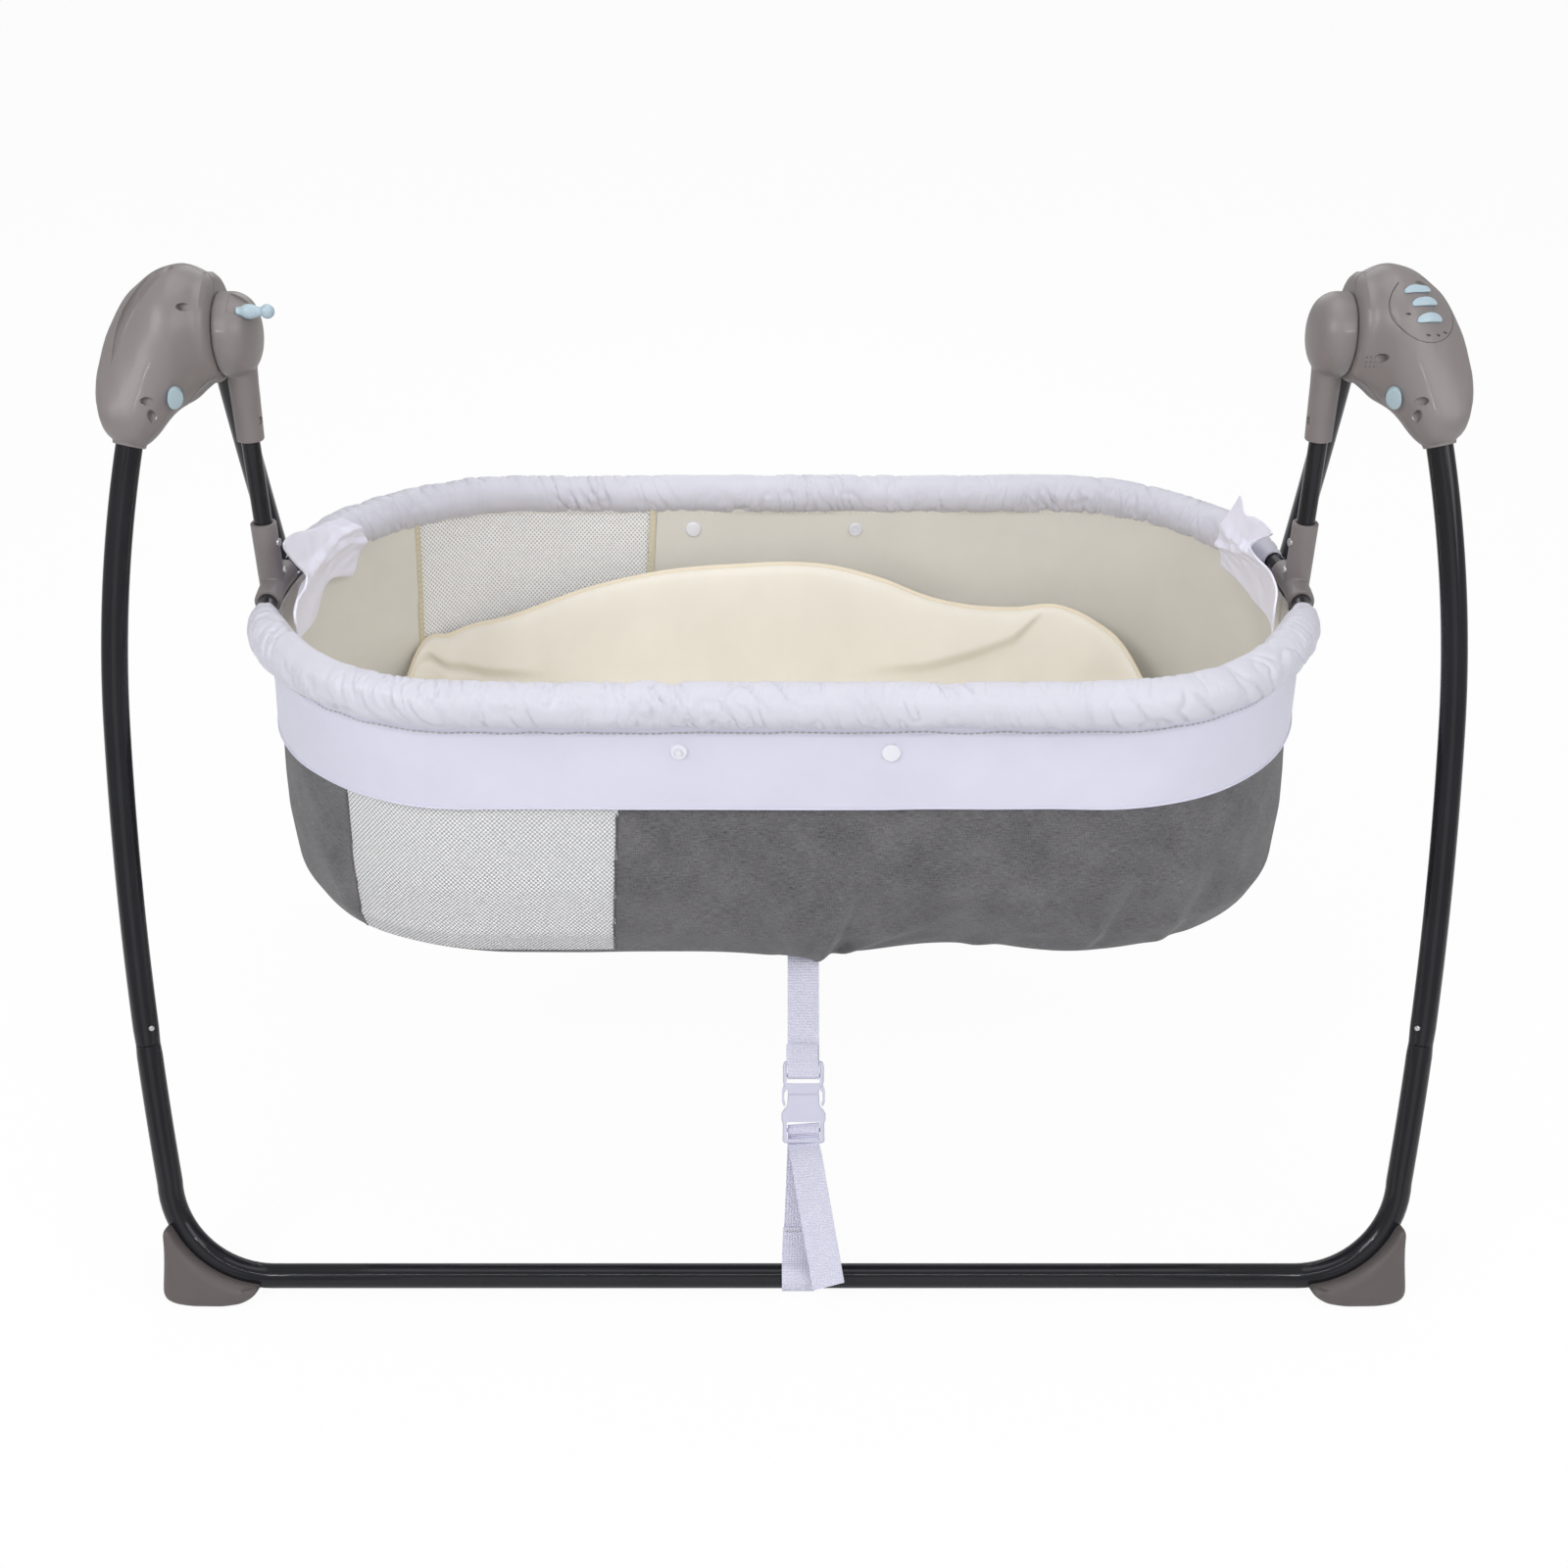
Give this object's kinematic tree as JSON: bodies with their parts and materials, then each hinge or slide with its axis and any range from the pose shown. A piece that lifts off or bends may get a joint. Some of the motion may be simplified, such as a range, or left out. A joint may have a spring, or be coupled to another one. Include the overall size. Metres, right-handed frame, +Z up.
{
  "type": "electric baby cradle",
  "caption": "Folding tube-frame cradle with two drive heads and a fabric basket that hangs between them and rocks front to back.",
  "frame": {"origin": "on the floor, under the middle of the cradle", "axes": "+X along the basket towards the head with the control panel, -Y to the front with the safety strap, +Z up"},
  "size_m": [1.0108, 0.6394, 0.72],
  "materials": {
    "taupe_plastic": "moulded plastic with a soft gloss",
    "charcoal_tube": "powder-coated steel tube, metallic charcoal",
    "steel": "plain steel",
    "bronze": "sintered bronze",
    "pale_blue_plastic": "pale blue plastic",
    "grey_cloth": "grey melange woven cloth",
    "cream_cloth": "cream quilted lining",
    "pad_cloth": "cream quilted cotton",
    "mesh_cloth": "white open mesh",
    "white_cloth": "white synthetic leather and webbing",
    "white_plastic": "white moulded plastic",
    "circuit_green": "circuit board",
    "copper": "wound copper wire",
    "black_plastic": "black plastic"
  },
  "bodies": {
    "front_frame": {"buckle_prong": "white_plastic", "buckle_socket": "white_plastic", "control_board": "circuit_green", "control_panel": "taupe_plastic", "drive_coil": "copper", "front_base_tube": "charcoal_tube", "front_leg_left": "charcoal_tube", "front_leg_right": "charcoal_tube", "front_shoe_left": "taupe_plastic", "front_shoe_right": "taupe_plastic", "head_front_shell_left": "taupe_plastic", "head_front_shell_right": "taupe_plastic", "head_rear_shell_left": "taupe_plastic", "head_rear_shell_right": "taupe_plastic", "head_screw_1_left": "steel", "head_screw_1_right": "steel", "head_screw_2_left": "steel", "head_screw_2_right": "steel", "head_screw_3_left": "steel", "head_screw_3_right": "steel", "power_inlet": "black_plastic", "shaft_bush_left": "bronze", "shaft_bush_right": "bronze", "speaker": "black_plastic", "strap_lower": "white_cloth", "strap_upper": "white_cloth"},
    "rear_frame": {"rear_knuckle_left": "taupe_plastic", "rear_knuckle_right": "taupe_plastic", "rear_leg_left": "charcoal_tube", "rear_leg_right": "charcoal_tube", "rear_base_tube": "charcoal_tube", "rear_shoe_left": "taupe_plastic", "rear_shoe_right": "taupe_plastic"},
    "cradle": {"swing_hub_left": "taupe_plastic", "swing_hub_right": "taupe_plastic", "swing_shaft_left": "steel", "swing_shaft_right": "steel", "magnet_arm": "black_plastic", "hanger_tube_left": "charcoal_tube", "hanger_tube_right": "charcoal_tube", "rim_connector_left": "taupe_plastic", "rim_connector_right": "taupe_plastic", "rim_tube_front": "charcoal_tube", "rim_tube_rear": "charcoal_tube", "rim_cover_front": "white_cloth", "rim_cover_rear": "white_cloth", "side_band": "white_cloth", "basket_shell": "grey_cloth", "basket_lining": "cream_cloth", "mesh_window_front": "mesh_cloth", "mesh_window_rear": "mesh_cloth", "mattress": "pad_cloth", "end_flap_left": "white_cloth", "end_flap_right": "white_cloth"},
    "key_speed_body": {"key_speed": "pale_blue_plastic"},
    "key_timer_body": {"key_timer": "pale_blue_plastic"},
    "key_music_body": {"key_music": "pale_blue_plastic"},
    "fold_button_left_body": {"fold_button_left": "pale_blue_plastic"},
    "fold_button_right_body": {"fold_button_right": "pale_blue_plastic"},
    "swing_lock_body": {"swing_lock": "pale_blue_plastic"}
  },
  "joints": [
    {"name": "rear_fold", "type": "hinge", "parent": "front_frame", "child": "rear_frame", "pos_m": [0, 0, 0.669], "axis": [-1, 0, 0], "range_deg": [0, 40]},
    {"name": "cradle_swing", "type": "hinge", "parent": "front_frame", "child": "cradle", "pos_m": [0, 0, 0.669], "axis": [1, 0, 0], "range_deg": [-10, 10], "deforming": ["strap_upper", "strap_lower"]},
    {"name": "lock_turn", "type": "hinge", "parent": "cradle", "child": "swing_lock_body", "pos_m": [-0.385, 0, 0.669], "axis": [1, 0, 0], "range_deg": [-25, 0]},
    {"name": "key_speed_press", "type": "slide", "parent": "front_frame", "child": "key_speed_body", "axis": [-0.4108, 0.7816, -0.4694], "range_m": [0, 0.0015], "stiffness_N_per_m": 300},
    {"name": "key_timer_press", "type": "slide", "parent": "front_frame", "child": "key_timer_body", "axis": [-0.4108, 0.7816, -0.4694], "range_m": [0, 0.0015], "stiffness_N_per_m": 300},
    {"name": "key_music_press", "type": "slide", "parent": "front_frame", "child": "key_music_body", "axis": [-0.4108, 0.7816, -0.4694], "range_m": [0, 0.0015], "stiffness_N_per_m": 300},
    {"name": "fold_button_left_press", "type": "slide", "parent": "front_frame", "child": "fold_button_left_body", "axis": [-0.284, 0.9534, 0.1014], "range_m": [0, 0.004], "stiffness_N_per_m": 700},
    {"name": "fold_button_right_press", "type": "slide", "parent": "front_frame", "child": "fold_button_right_body", "axis": [0.284, 0.9534, 0.1014], "range_m": [0, 0.004], "stiffness_N_per_m": 700}
  ]
}
